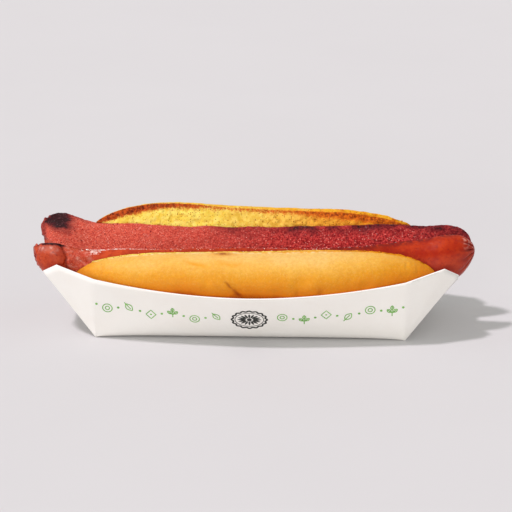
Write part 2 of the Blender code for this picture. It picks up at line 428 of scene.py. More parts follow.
# %% Far lobe
def far_lobe():
    """Far half: charred oval at its left end, and char along its upper edge towards the right."""
    x, turn, grid, normal, shaped, masks = shape_lobe(FAR_LOBE, 1)
    edge = np.cos(turn)
    ragged = rough(grid, 3.2, 71) * 0.35
    across = (edge * RADIUS - 5.6) / 7.8
    oval = ease(1.55, 0.35, np.hypot((x + 82.6) / 6.3, across) + ragged * 0.4)
    smoke = 0.55 * ease(0.70, 0.98, edge + ragged * 0.2) * ease(-64, -78, x)
    streak = rough(grid, 5.0, 72, stretch=(0.5, 1, 1))
    streak = ease(-0.35, 0.35, streak + ease(-12, 70, x) * 0.7 - 0.2)
    top = ease(0.45, 0.97, edge + ragged * 0.35) * ease(-22, -4, x) * (0.25 + 0.40 * streak)
    band = ease(0.30, 0.9, edge + ragged * 0.5) * ease(50, 66, x) * streak * 0.36
    tip = ease(68, 86, x + 3 * ragged) * ease(-0.9, 0.4, edge + ragged * 0.5) * 0.46
    rim = ease(-86.0, -87.4, x + 0.9 * rough(grid, 1.7, 75, 2)) * 0.46
    char = [oval, smoke, top, band, tip, rim]
    crust = np.clip(np.maximum.reduce(char), 0, 1) * rough(grid, 1.5, 74) * 0.16
    wet = ease(0.25, 0.7, rough(grid, 4.0, 73) + 0.25) * 0.6
    shaped = shaped + normal * crust[..., None]
    return lobe_piece("sausage_far_lobe", shaped, masks, char, wet=wet), shaped, normal


far, far_shape, far_normal = far_lobe()

# %% Near lobe
FOLD_X = -75.0


def near_lobe():
    """Near half: a smooth end like a button, a torn fold behind it, and a wet skin with painted
    highlights.
    """
    x, turn, grid, normal, shaped, masks = shape_lobe(NEAR_LOBE, 2)
    skin = 1 - masks["flesh"]
    fold_place = FOLD_X - 1.8 * bump(turn, 0.0, 0.28) + 0.4 * rough(grid * (0, 1, 1), 2.2, 81)
    upper = ease(1.3, 0.5, turn) * ease(-0.25, 0.0, turn)
    groove = -1.0 * bump(x, fold_place, 0.6) * skin * (0.25 + 0.75 * upper)
    swell = 0.5 * bump(x, fold_place - 3.0, 3.0) * skin
    torn = ease(-0.3, 1.5, x - fold_place) * ease(-62.0, -69.0, x + 2.5 * noise(grid, 5.0, 82)) * skin
    tear = torn * (rough(grid, 2.2, 83, stretch=(0.5, 1, 1)) * 0.45 - 0.25)
    shaped = shaped + normal * (groove + swell + tear)[..., None]
    shaped[..., 0] += 0.7 * (ease(-84.0, -90.0, x) - ease(88.0, 94.0, x))
    ragged = rough(grid, 2.2, 84)
    grit = rough(grid, 1.1, 87, 2)
    on_edge = ease(0.11, 0.03, np.abs(turn) + 0.03 * grit)
    cap = np.maximum(on_edge * ease(-0.8, -0.2, ragged) * ease(-89.8, -87.5, x) * 0.85,
                     skin * (0.13 + 0.07 * ragged)) * ease(-74.5, -76.5, x)
    line = ease(0.26, 0.06, np.abs(turn) + 0.05 * grit) * ease(24, 40, x) * ease(90, 82, x)
    line *= ease(-0.7, 0.1, grit) * 0.50
    fold = bump(x, fold_place, 0.38) * skin * 0.55 * upper * ease(-0.9, 0.1, grit)
    pleat = pleats(grid, turn, 62)
    tip = ease(86, 93, x) * (0.15 * ease(-0.4, 0.5, ragged) + 0.32 * pleat)
    rim = ease(-88.0, -89.8, x + 0.5 * ragged) * 0.36
    wet = np.clip(0.5 + 0.6 * rough(grid, 5.0, 85), 0, 1) * (1 - np.minimum(line * 4, 1))
    # Pale painted highlights travel to the material as a mask.
    piece = lobe_piece("sausage_near_lobe", shaped, masks, [cap, line, fold, tip, rim], wet=wet,
                       torn=torn, shine=painted_glints(x, turn, grid, torn, pleat))
    return piece, shaped, normal


def painted_glints(x, turn, grid, torn, pleat):
    """Painted highlights: spots on the end, streaks on the torn part and tip, a faint sheen low on the
    skin.
    """
    streaks = ease(0.1, 0.75, rough(grid, 0.8, 86, 2, (0.6, 1, 1)))
    shine = np.maximum.reduce([
        bump(np.hypot((x + 83.0) / 3.6, (turn - 0.20) / 0.14), 0, 1) * (0.20 + 0.80 * streaks),
        bump(np.hypot((x + 70.2) / 1.7, (turn - 0.42) / 0.12), 0, 1) * (0.1 + 0.7 * streaks),
        0.40 * torn * streaks, 0.035 * ease(0.75, 1.25, turn) * ease(-40, 40, x),
        0.8 * ease(87.5, 90.5, x) * bump(turn, 0.35, 0.4) * streaks * (1 - pleat)])
    return np.clip(shine, 0, 1)


near, near_shape, near_normal = near_lobe()

# %% [markdown]
# ### Finish of the sausage
# Grilled skin is a thin, tight, glossy film over meat: a red-orange colour under a clear coat of fat.
# The cut face is duller, pinker and speckled with light fat and dark spice. Both live in one material
# that reads the flesh, char, wet and tone numbers from the mesh, because their border is ragged.

# %% Sausage material
def sausage_material():
    """Skin and meat by the flesh number, darkened by char; a coat where wet, and painted highlights."""
    made, r = material("grilled_sausage", Coat_Roughness=0.12, Coat_IOR=1.45,
                       Specular_IOR_Level=0.13, Subsurface_Weight=0.10, Subsurface_Scale=0.001,
                       Subsurface_Radius=(1.0, 0.3, 0.2))
    flesh, char, wet, tone, torn, pit, shine = r.numbers("flesh char wet tone torn pit shine")

    def along(left, right):
        """Goes from the left end's value to the right end's."""
        return r.mix(tone, left, right)

    skin = r.mix(r.blotches(220, 0.35, 0.65), along("B83F24", "A02106"), along("CE4F28", "B4340C"))
    skin = r.mix(r.blotches(800, 0.50, 0.75), skin, "931C0A")
    meat = r.mix(along(r.blotches(1800, 0.40, 0.60), r.blotches(1350, 0.43, 0.57)),
                 along("B83A2E", "96141A"), along("E4664F", "D84640"))
    meat = r.mix(r.times(r.blotches(260, 0.45, 0.7), 0.40), meat, along("DA6A55", "98181C"))
    fat = r.times(along(r.specks(1900, 0.44, 0.26), r.specks(1250, 0.46, 0.30)),
                  r.less(1.0, r.times(char, 2.2), True))
    meat = r.mix(fat, meat, along("F09C88", "EC8C80"))
    meat = r.mix(r.specks(620, 0.26, 0.14), meat, "7E1014")
    # Painted shade darkens the hollows of the cut meat.
    meat = r.mix(r.times(pit, along("606060", "A0A0A0")), meat, along("8E1C14", "5A0810"))
    open_meat = r.math('MAXIMUM', flesh, r.times(torn, 0.6))
    # Pale painted highlights are mixed into the colour.
    body = r.mix(r.times(shine, 0.85), r.mix(open_meat, skin, meat), "F8C4B6")
    seared = r.mix(r.times(char, 1.25, True), body, "52101A")
    black = r.mix(r.specks(1500, 0.42, 0.30), "300C10", "74444A")
    crusted = r.span(r.less(char, r.times(r.blotches(800, 0.3, 0.7), 0.5)), 0.35, 0.65)
    r.feed('Base Color', r.mix(crusted, seared, black))
    r.feed('Roughness', r.plus(r.plus(0.40, r.times(wet, -0.14)), r.times(open_meat, 0.20)))
    r.feed('Coat Weight', r.times(wet, 0.12))
    grain = r.shared("grain", 900, 0.5)
    r.relief(r.times(grain, r.plus(r.times(open_meat, 0.85), 0.15)), 0.0005, 0.9)
    return made


grilled = sausage_material()
for piece in (far, near):
    piece.data.materials.append(grilled)
print("both lobes share", grilled.name)

# %% [markdown]
# ## Shape of the bun
# A long soft bun is cut along its top and hinged at the bottom, so it opens into two fat halves.
# Each half is a loft of one closed section: rim, domed crust, flat foot, hinge and the cut crumb.
# The section shrinks towards round ends at different rates up, down and outwards. Where the
# sausage lies, the crumb is pressed down round it, as soft bread is. A scaled sphere would be
# quicker, but it would have no rim, no cut side and no bed.

# %% Bun section and tapers
BUN_MIDDLE, BUN_HALF_LENGTH = 2.0, 77.0
TIP_HEIGHT, SPINE = 21.0, 16.0
UP_POWER, DOWN_POWER, OUT_POWER, HINGE_POWER = 4.5, 2.6, 2.1, 12
# Section from the rim over the crust and the foot to the hinge: distance outwards, height.
HALF_SECTION = np.array((
    (24.0, 37.9), (31.5, 36.2), (36.2, 31.2), (37.3, 24.5), (33.6, 16.0), (27.5, 7.5),
    (20.0, 2.6), (8.0, 1.3), (-4.0, 1.3), (-5.0, 6.0), (-3.0, 14.5), (20.5, 36.0),
))
# How much higher each rim stands along the bun: x, millimetres.
FRONT_RIM = ((-75.0, -3.2), (-40.0, -2.2), (0.0, -1.2), (40.0, -0.2), (80.0, 1.0))
BACK_RIM = ((-75.0, 6.0), (-35.0, 6.2), (-8.0, 4.2), (10.0, 3.6), (50.0, 3.6), (80.0, 3.0))
BUN_ROWS, BUN_COLUMNS = 470, 204
UPPER_HALF, UPPER_SHARE = 24.0, 3.0


def section_at(place):
    """Points of the closed section: cubic pieces through its knots, one knot for each whole place."""
    i = np.floor(place).astype(int)
    t = (place - i)[:, None]
    before, start, end, after = (HALF_SECTION[(i + k) % len(HALF_SECTION)] for k in (-1, 0, 1, 2))
    return start + t / 2 * (end - before + t * (2 * before - 5 * start + 4 * end - after
                                                + t * (3 * (start - end) + after - before)))


SECTION_PATH = np.linspace(0, len(HALF_SECTION), 4001)
SECTION_POINTS = section_at(SECTION_PATH)
SECTION_STEPS = np.linalg.norm(np.diff(SECTION_POINTS, axis=0), axis=1)


def bun_grid(side):
    """Grid of one half: each section is scaled about its spine by root-shaped tapers to the ends."""
    closer = np.where(SECTION_POINTS[1:, 1] > UPPER_HALF, UPPER_SHARE, 1.0)
    place = even_places(SECTION_PATH, SECTION_STEPS * closer, BUN_COLUMNS, endpoint=False)
    section = section_at(place)
    out, up = section[:, 0] - SPINE, section[:, 1] - TIP_HEIGHT
    s = np.sin(np.linspace(-1, 1, BUN_ROWS) * np.pi / 2)[:, None]
    x = BUN_MIDDLE + BUN_HALF_LENGTH * s
    rim = follow(BACK_RIM if side > 0 else FRONT_RIM, x[:, 0])
    up = up * np.where(up > 0, 1 + rim / up.max(), 1)
    wide, above, below, hinge = (np.sqrt(1 - np.abs(s) ** power)
                                 for power in (OUT_POWER, UP_POWER, DOWN_POWER, HINGE_POWER))
    grid = np.stack([np.broadcast_to(x, up.shape), side * (SPINE + out * np.where(out > 0, wide, hinge)),
                     TIP_HEIGHT + up * np.where(up > 0, above, below)], axis=-1)
    middle = np.stack([x, np.full_like(x, side * SPINE), np.full_like(x, TIP_HEIGHT)], axis=-1)
    return np.broadcast_to(place, grid.shape[:2]), grid, grid_normals(grid, middle)


print("the section is", round(SECTION_STEPS.sum(), 1), "mm round")

# %% Bed for the sausage
GAP = 0.4


def press_bed(grid):
    """Crumb inside a lobe's half disc is pushed down to its round side, with a small gap."""
    pressed = grid.copy()
    for stations in (FAR_LOBE, NEAR_LOBE):
        side = np.sign(stations[0][1])
        x = np.clip(pressed[..., 0], stations[0][0], stations[-1][0])
        y, z, tilt, radius = (v.reshape(x.shape) for v in lobe_frame(stations, x.ravel()))
        reach = (radius + GAP) * (x == pressed[..., 0])
        dy, dz = side * (pressed[..., 1] - y), pressed[..., 2] - z
        u = dy * np.cos(tilt) + dz * np.sin(tilt)
        w = dy * np.sin(tilt) - dz * np.cos(tilt)
        round_side = np.sqrt(np.maximum(reach ** 2 - u ** 2, 0))
        hit = (np.abs(u) < reach) & (w > -CROWN * radius - GAP) & (w < round_side)
        w = np.where(hit, round_side, w)
        pressed[..., 1] = y + side * (u * np.cos(tilt) + w * np.sin(tilt))
        pressed[..., 2] = z + u * np.sin(tilt) - w * np.cos(tilt)
    return pressed


print("the bed leaves", GAP, "mm round the sausage")

# %% [markdown]
# ### Creases, pores and toast
# Bread skin is not smooth: it has broad swells, soft dents, and creases where the bun was squeezed.
# A crease is a groove along a short line on the crust, deepest in its middle, with painted shade along
# it.
# The cut crumb is full of pores, and its upper edge is toasted brown. Grooves and pores are real shape
# here, and only the finest grain is left to the material.

# %% Toasted edge
# Toasted band of the back half along the bun: x, where it starts and ends below the rim, darkness.
TOAST_BAND = (
    (-70.0, 0.4, 3.0, 0.8), (-60.0, 0.5, 4.2, 1.0), (-52.0, 0.6, 4.0, 1.0),
    (-44.0, 0.7, 3.2, 1.0), (-30.0, 0.9, 2.8, 0.9), (-18.0, 1.1, 2.6, 0.75),
    (-4.0, 1.3, 2.6, 0.65), (6.0, 1.4, 2.8, 0.7), (20.0, 1.6, 3.2, 0.85), (34.0, 1.8, 4.4, 0.95),
    (44.0, 1.9, 5.0, 0.95), (56.0, 2.0, 5.8, 0.9), (70.0, 1.7, 6.5, 0.8),
)
# Place of the rim's top on the section's path.
RIM_PLACE = 11.86


def below_rim(place):
    """Length in millimetres from the rim: positive down the cut side, negative over the crust."""
    length = np.concatenate([[0], np.cumsum(SECTION_STEPS)])
    down = np.interp(RIM_PLACE, SECTION_PATH, length) - np.interp(place, SECTION_PATH, length)
    return np.where(down > length[-1] / 2, down - length[-1], down)


def toasted(down, grid, side, seed):
    """Brown band under the rim, with a crisp upper border and a lower one that thins out."""
    start, end, dark = (v[:, None] for v in follow(TOAST_BAND, grid[:, 0, 0]).T)
    if side < 0:
        end, dark = end * 0.5, dark * 0.6
    ragged = rough(grid, 2.4, seed + 9)
    upper = ease(-0.25, 0.35, down - start + 0.15 * ragged)
    return dark * upper * ease(1.7, -1.3, down - end + 0.45 * ragged)


print("toast reaches", max(band[2] for band in TOAST_BAND), "mm below the rim")

# %% Creases
# Creases: start (x, y, z), end (x, y, z), half width, depth, and how dark the painted shade along it is:
# brown; below 0, golden.
FRONT_CREASES = (
    (-9.0, -37.2, 28.6, -5.6, -37.0, 25.2, 1.00, 0.40, 0.7),
    (-5.8, -37.0, 25.4, -2.2, -36.2, 21.0, 1.40, 0.65, 1.0),
    (-25.5, -30.0, 34.9, -15.3, -33.8, 33.1, 0.90, 0.34, -1.0),
    (-13.8, -31.7, 34.7, 1.0, -32.7, 34.4, 1.50, 0.28, -0.7),
    (-16.5, -36.4, 30.5, -15.0, -37.2, 25.5, 1.30, 0.20, -0.7),
    (25.5, -36.2, 31.6, 21.4, -37.3, 26.4, 2.20, 0.35, -0.5),
    (21.0, -37.2, 24.9, 19.6, -36.8, 21.5, 1.60, 0.28, 0.28),
    (30.4, -36.6, 25.6, 28.4, -36.8, 21.8, 1.70, 0.32, 0.35),
    (49.6, -34.4, 27.6, 45.8, -35.8, 24.0, 1.60, 0.45, 0.35),
    (68.0, -24.0, 33.8, 68.8, -28.0, 30.0, 0.60, 0.40, 0.1),
    (65.2, -23.6, 34.6, 65.6, -29.0, 31.0, 0.60, 0.25, 0.0),
    (-60.4, -21.5, 33.2, -59.4, -27.5, 29.0, 0.60, 0.35, 0.05),
)
BACK_CREASES = (
    (-40.0, 34.0, 33.0, -35.0, 36.0, 22.0, 0.80, 0.70, 0.4),
    (12.0, 35.5, 32.0, 15.0, 36.5, 21.0, 0.70, 0.90, 0.7),
    (30.0, 27.0, 40.0, 44.0, 32.0, 36.0, 1.00, 0.50, 0.1),
    (52.0, 31.0, 34.0, 56.0, 33.0, 26.0, 0.80, 0.50, 0.2),
)
# A scorched spot on the front rim.
SCORCH, SCORCH_SIZE = (-10.0, -25.2, 36.7), (3.4, 1.5, 1.2)


def line_distance(points, start, end):
    """Distance to the line between two points, and how far along it the nearest place is."""
    start, end = np.array(start), np.array(end)
    line = end - start
    t = np.clip((points - start) @ line / (line @ line), 0, 1)
    return np.linalg.norm(points - start - t[..., None] * line, axis=-1), t


def creased(grid, crust, creases, seed):
    """Sum of the grooves with raised banks, their painted shade, brown and golden, and the scorched
    spot's colour.
    """
    folds, core, golden_crease_shade_and_halo = np.zeros((3,) + grid.shape[:2])
    wavy = grid + 0.45 * noise(grid, 3.0, seed + 6)[..., None]
    for crease in creases:
        away, along = line_distance(wavy, crease[:3], crease[3:6])
        width, depth, brown = crease[6:]
        share = crust * (0.3 + 0.7 * np.sin(np.pi * np.clip(along, 0.02, 0.98)))
        folds += depth * share * (0.4 * bump(away, 2.3 * width, width) - bump(away, 0, width))
        # Brown painted shade along the crease; golden painted shade where the last number is below 0.
        core = np.maximum(core, brown * share * bump(away, 0, width * 0.60))
        golden_crease_shade_and_halo = np.maximum(golden_crease_shade_and_halo, -brown * share * bump(away, 0, width))
    # The scorched spot is the crust's own brown, with a golden halo.
    scorch = np.linalg.norm((grid - SCORCH) / SCORCH_SIZE, axis=-1)
    core = np.maximum(core, 0.85 * bump(scorch, 0, 1) * ease(-1.0, 0.0, rough(grid, 1.2, seed + 12)))
    return folds, core, np.maximum(golden_crease_shade_and_halo, 0.8 * bump(scorch, 0, 1.8))


print(len(FRONT_CREASES), "creases in front and", len(BACK_CREASES), "behind")

# %% Crust and crumb
# Places on the section's path between which the hinge's crust gives way to crumb.
CRUMB_PLACES = (9.2, 9.8)
# The crust is palest at this height and darkest this far below it.
PALE_HEIGHT, BAKED_BELOW = 37.5, 16.0
# The rims turn golden from these places on, in front and behind.
GOLD_FROM = {-1: -8.0, 1: -74.0}
# The crumb turns from yellow to orange between these places along the bun.
WARM_FROM_TO = (-25.0, 58.0)


def bun_half(name, side, creases, seed):
    """One half with its bed pressed in, its crust creased and its crumb opened into pores."""
    place, grid, normal = bun_grid(side)
    x, z, down = grid[..., 0], grid[..., 2], below_rim(place)
    border = ease(RIM_PLACE + 0.1, RIM_PLACE - 0.02, place + 0.05 * rough(grid, 2.5, seed))
    crumb = ease(*CRUMB_PLACES, place) * border
    crust = 1 - crumb
    folds, core, golden_crease_shade_and_halo = creased(grid, crust, creases, seed)
    swell = (rough(grid, 26.0, seed + 1, 2) * 0.50 + rough(grid, 7.0, seed + 2, 2) * 0.12
             + rough(grid, 1.5, seed + 11, 2, (1, 0.45, 0.45)) * 0.05
             + rough(grid, 4.0, seed + 16, 2, (1, 0.3, 0.3)) * 0.08)
    pores = -0.6 * ease(0.25, 0.75, noise(grid, 1.7, seed + 3)) - 0.8 * ease(
        0.3, 0.8, noise(grid, 3.4, seed + 4))
    crumb_move = (rough(grid, 4.5, seed + 5) * 0.35 + pores) * ease(0.2, 3.5, down)
    edge = bump(down, 0.0, 0.9) * (rough(grid, 2.4, seed + 7) * (0.16 + 0.34 * ease(50, 62, x))
                                   + 0.25 * noise(grid, 8.0, seed + 14))
    fade = ease(0.0, 3.0, BUN_HALF_LENGTH - np.abs(x - BUN_MIDDLE))
    move = fade * (crust * swell + crumb * crumb_move + folds + edge)
    shaped = press_bed(grid + normal * move[..., None])
    toast = toasted(down, grid, side, seed) * crumb
    # Darker lower down and towards the right end.
    bake = (PALE_HEIGHT - z) / BAKED_BELOW + 0.08 * rough(grid, 12.0, seed + 8)
    bake = bake + 0.22 * ease(20, 70, x)
    warm = ease(*WARM_FROM_TO, x + 12 * noise(grid, 9.0, seed + 10))
    patchy = ease(-0.9, 0.1, rough(grid, 2.0, seed + 13))
    flaky = ease(-0.2, 0.4, rough(grid, 1.1, seed + 15, 2) + 0.5 * bump(x, -24.0, 10.0))
    start = follow(TOAST_BAND, x[:, 0])[:, :1] if side > 0 else 0.0
    golden = ease(-1.0, -0.4, down) * ease(start + 0.3, start - 0.3, down) * patchy
    golden *= ease(GOLD_FROM[side], GOLD_FROM[side] + 8, x)
    masks = {"crumb": crumb, "toast": toast, "bake": np.clip(bake, 0, 1), "core": core,
             "warm": warm, "rim": bump(down, -0.5, 0.8) * flaky * (side < 0) * ease(56, 20, x),
             "gold": np.maximum(golden, golden_crease_shade_and_halo)}
    piece = finish_mesh(name, shaped + FOOD_SHIFT, grid_faces(BUN_ROWS, BUN_COLUMNS), masks)
    return piece, shaped, crumb * (toast < 0.2)


front_bun, front_shape, front_crumb = bun_half("bun_front_half", -1, FRONT_CREASES, 200)
back_bun, back_shape, back_crumb = bun_half("bun_back_half", 1, BACK_CREASES, 300)

# %% [markdown]
# ### Finish of the bread
# Crust is glazed: pale gold on top and a deeper orange brown lower down and towards the right end.
# The crumb is open, matt and bright yellow, brown where toasted.
# One material holds both, read from the mesh's numbers, so that no seam shows at the rim.

# %% Bread material
# Colours of the crust from the palest to the darkest, each with its place between 0 and 1.
BAKED = ((0.0, "ECC270"), (0.25, "E8B148"), (0.5, "E29A20"), (0.75, "DF880C"), (0.92, "DC7C06"),
         (1.0, "C46204"))


def bread_material():
    """Crust by its bake number, crumb by its toast number, with pores and flecks."""
    made, r = material("golden_bread", Coat_Weight=0.03, Coat_Roughness=0.3,
                       Specular_IOR_Level=0.15, Subsurface_Weight=0.15, Subsurface_Scale=0.002,
                       Subsurface_Radius=(1.0, 0.55, 0.2))
    crumb, toast, bake, core, rim, gold, warm = r.numbers("crumb toast bake core rim gold warm")
    baked = r.plus(bake, r.times(r.less(r.blotches(90, 0.3, 0.7), 0.5), 0.08))
    oven = r.put('ShaderNodeValToRGB', {'Fac': baked})
    stops = oven.color_ramp.elements
    for place, shade in BAKED[1:-1]:
        stops.new(place).color = colour(shade)
    stops[0].color, stops[-1].color = colour(BAKED[0][1]), colour(BAKED[-1][1])
    crust = r.mix(r.times(r.blotches(700, 0.35, 0.65), 0.24), oven.outputs['Color'], "C67C18")
    pale = r.less(0.30, r.times(baked, 0.30), True)
    crust = r.mix(r.times(r.blotches(1600, 0.45, 0.75), pale), crust, "FBD68C")
    # Golden rims, and the golden painted shade of some creases.
    gilt_and_crease_shade = r.times(gold, 0.85, True)
    crust = r.mix(r.times(rim, 0.75), r.mix(gilt_and_crease_shade, crust, "EC9A14"), "F8E2B0")
    # Brown painted shade in the creases, and the scorched spot's own brown.
    crust = r.mix(core, crust, "8A2E00")
    soft = r.mix(r.blotches(420, 0.38, 0.62), r.mix(warm, "FBE472", "F29A08"),
                 r.mix(warm, "F0CE4E", "CC6A04"))
    soft = r.mix(r.specks(1300, 0.42, 0.30), soft, r.mix(warm, "B87C18", "9C4604"))
    scorched = r.times(r.blotches(900, 0.35, 0.65), r.times(toast, toast))
    brown = r.mix(scorched, r.mix(warm, "D05A1E", "E47410"), r.mix(warm, "6C220E", "7C2604"))
    broken = r.less(r.times(toast, 1.9), r.times(r.blotches(1500, 0.35, 0.65), 0.75), True)
    soft = r.mix(gilt_and_crease_shade, r.mix(broken, soft, brown), "F4B42A")
    r.feed('Base Color', r.mix(crumb, crust, soft))
    r.feed('Roughness', r.plus(0.5, r.times(crumb, 0.35)))
    grain = r.shared("grain", 620, 0.6)
    r.relief(r.times(grain, r.plus(r.times(crumb, 0.7), 0.30)), 0.0007, 0.9)
    return made


bread = bread_material()
for piece in (front_bun, back_bun):
    piece.data.materials.append(bread)
print("both halves share", bread.name)

# %% [markdown]
# ## Shape of the paper tray
# The tray is one sheet of white card: a flat base, two long walls that curve outwards as they are
# held bent, and two leaning ends with folded corners. A wall is a ruled surface: every line on it
# runs from the base edge, round a soft fold, straight up to the top edge. The sheet gets the card's
# thickness from a Solidify modifier, which also gives the bare cut edge its own, whiter material.

# %% Wall lines
# A spread is half the tray's width at its top edge. A long wall ends at the crease, and the corner's
# two panels meet along the line to the peak.
BASE_HALF_LENGTH, BASE_HALF_WIDTH = 64.0, 26.0
WALL_MID_SPREAD, WALL_MID_HEIGHT = 39.2, 21.7
CREASE_SPREAD, CREASE_HEIGHT = 33.0, 27.4
PEAK = np.array((80.0, -25.6, 31.1))
END_CORNER = np.array((86.0, -20.0, 26.7))
END_MID_HEIGHT, END_BELLY = 19.9, -0.8
FOLD_ROUNDING = 4.5
SPREAD_POWER, HEIGHT_POWER, END_POWER = 1.6, 2.0, 2.4
WALL_LINES, PANEL_LINES, END_LINES = 57, 7, 21


def wall_lines(x):
    """Foot, top and fold inset of a long wall's lines: powers of the way from middle to crease."""
    s = np.abs(x) / BASE_HALF_LENGTH
    spread = WALL_MID_SPREAD + (CREASE_SPREAD - WALL_MID_SPREAD) * s ** SPREAD_POWER
    height = WALL_MID_HEIGHT + (CREASE_HEIGHT - WALL_MID_HEIGHT) * s ** HEIGHT_POWER
    foot = np.stack([x, np.full_like(x, -BASE_HALF_WIDTH), np.zeros_like(x)], axis=-1)
    return foot, np.stack([x, -spread, height], axis=-1), FOLD_ROUNDING * np.sqrt(1 - s ** 4)


def quarter_lines():
    """Lines from the middle of the front wall, over the corner's two panels, to the end's middle."""
    foot, top, inset = wall_lines(np.linspace(0, BASE_HALF_LENGTH, WALL_LINES))
    corner = np.array((BASE_HALF_LENGTH, -BASE_HALF_WIDTH, 0.0))
    t = np.linspace(0, 1, PANEL_LINES)[1:, None]
    tops = np.concatenate([top[-1] + (PEAK - top[-1]) * t, PEAK + (END_CORNER - PEAK) * t])
    s = np.linspace(1, 0, END_LINES)[1:]
    height = END_MID_HEIGHT + (END_CORNER[2] - END_MID_HEIGHT) * s ** END_POWER
    reach = END_CORNER[0] + END_BELLY * (1 - s * s)
    end_top = np.stack([reach, END_CORNER[1] * s, height], axis=-1)
    end_foot = np.stack([np.full_like(s, BASE_HALF_LENGTH), -BASE_HALF_WIDTH * s, s * 0], axis=-1)
    feet = np.concatenate([foot, np.broadcast_to(corner, tops.shape), end_foot])
    insets = np.concatenate([inset, np.zeros(len(feet) - len(inset))])
    return feet, np.concatenate([top, tops, end_top]), insets


def upwards(foot, top):
    """Unit direction of each line from its foot to its top."""
    return (top - foot) / np.linalg.norm(top - foot, axis=1, keepdims=True)


print("the base is", 2 * BASE_HALF_LENGTH, "by", 2 * BASE_HALF_WIDTH, "mm")

# %% Tray sheet
CARD = 0.6
CRISP_FOLD = math.radians(24)
FOLD_STEPS = np.linspace(0, 1, 7)[None, :, None]
WALL_STEPS = np.linspace(0, 1, 13)[None, 1:, None]


def mirrored(values, flip, first):
    """The same lines carried on round the tray as their mirror image, without doubling the ends."""
    return np.concatenate([values, (values * flip)[-2:first:-1]])


def waved(points):
    """Card that is not quite flat: a tenth of a millimetre in and out, more towards the top."""
    points = points.copy()
    move = 0.10 * noise(points * (1, 0, 1), 21.0, 401) * ease(3, 14, points[..., 2])
    points[..., 1] += move * np.sign(points[..., 1])
    return points


def tray_grid():
    """All wall lines round the tray: a curve round the fold, then a straight run to the top edge."""
    foot, top, inset = quarter_lines()
    for flip, first in (((1, -1, 1), None), ((-1, 1, 1), 0)):
        foot, top = mirrored(foot, flip, first), mirrored(top, flip, first)
        inset = mirrored(inset, 1, first)
    inset = inset[:, None]
    inwards = foot * 0
    inwards[:, 1] = -np.sign(foot[:, 1])
    start, end = (foot + inwards * inset)[:, None], (foot + upwards(foot, top) * inset)[:, None]
    foot, top, t = foot[:, None], top[:, None], FOLD_STEPS
    fold = start * (1 - t) ** 2 + foot * 2 * t * (1 - t) + end * t * t
    return waved(np.concatenate([fold, end + (top - end) * WALL_STEPS], axis=1))


def thicken(piece, thickness):
    """Gives a sheet its thickness in millimetres, on the side that its faces look away from."""
    shell = piece.modifiers.new("thickness", 'SOLIDIFY')
    shell.thickness, shell.offset = thickness * MM, -1
    return shell


def tray_sheet():
    """Tray from its grid, with the base as one flat face inside the folds, and crisp creases."""
    grid = tray_grid()
    index = np.arange(grid.shape[0] * grid.shape[1]).reshape(grid.shape[:2])
    after = np.roll(index, -1, axis=0)
    quads = np.stack([index[:, :-1], after[:, :-1], after[:, 1:], index[:, 1:]], axis=-1)
    piece = finish_mesh("paper_tray", grid, quads.reshape(-1, 4).tolist() + [index[::-1, 0].tolist()])
    piece.data.set_sharp_from_angle(angle=CRISP_FOLD)
    card = thicken(piece, CARD)
    card.use_even_offset = True
    card.material_offset_rim = 1
    return piece


tray = tray_sheet()

# %% [markdown]
# ### Finish of the card
# White board has a faint fibre, a soft sheen from its clay coat, and a bright raw edge where it was
# cut. A little grease may have darkened it inside, but this one is fresh and clean.

# %% Card materials
def plain_material(name, light, dark, roughness, scale, low=0.35, high=0.7):
    """Surface of one colour that goes cloudily from light to dark, by a shade or two."""
    made, r = material(name, Roughness=roughness)
    r.feed('Base Color', r.mix(r.blotches(scale, low, high), light, dark))
    return made, r


for name, light, dark, roughness in (("white_card", "F6F3EE", "F4F0EA", 0.5),
                                     ("cut_card_edge", "FFFFFF", "FBF9F5", 0.7)):
    board, r = plain_material(name, light, dark, roughness, 60, 0.3)
    r.relief(r.shared("grain", 1500, 0.5), 0.0001, 0.35)
    tray.data.materials.append(board)
print("the tray wears", ", ".join(slot.name for slot in tray.data.materials))

# %% [markdown]
# ## Print on the walls
# The tray carries a line of small green drawings on each side of a dark badge. Here the drawings are
# leaves, rings, diamonds and sprigs of a generic pattern, and the badge is a plain rosette. Each
# line is a thin ribbon: its path is drawn flat, in millimetres along and up the wall, and a function
# carries it onto the wall, a few hundredths of a millimetre proud, as ink lies on card. An image
# texture could do the same, but this stays sharp at any distance and needs no file.

# %% Flat drawings
LINE = 0.38
MOTIF = 4.3


def ribbon(path, width=LINE, closed=False):
    """Flat strip of quads along a path: each point is moved half the width to both sides."""
    ahead = np.roll(path, -1, axis=0) if closed else np.concatenate([path[1:], path[-1:]])
    behind = np.roll(path, 1, axis=0) if closed else np.concatenate([path[:1], path[:-1]])
    along = ahead - behind
    along /= np.linalg.norm(along, axis=1, keepdims=True)
    half = np.stack([-along[:, 1], along[:, 0]], axis=-1) * np.reshape(width, (-1, 1)) / 2
    first = np.arange(len(path) if closed else len(path) - 1)
    after = (first + 1) % len(path)
    return (np.concatenate([path + half, path - half]),
            np.stack([first, after, after + len(path), first + len(path)], axis=-1))


def ellipse(wide, tall, count):
    """Points evenly turned round an ellipse."""
    angle = np.linspace(0, 2 * np.pi, count, endpoint=False)
    return np.stack([wide * np.cos(angle), tall * np.sin(angle)], axis=-1)


def ring(wide, tall, count, width=LINE):
    """Closed ribbon round an ellipse."""
    return ribbon(ellipse(wide, tall, count), width, True)


def moved(strips, x, v):
    """The same strips with their middle at x along the wall and v up it."""
    return [(points + (x, v), quads) for points, quads in strips]


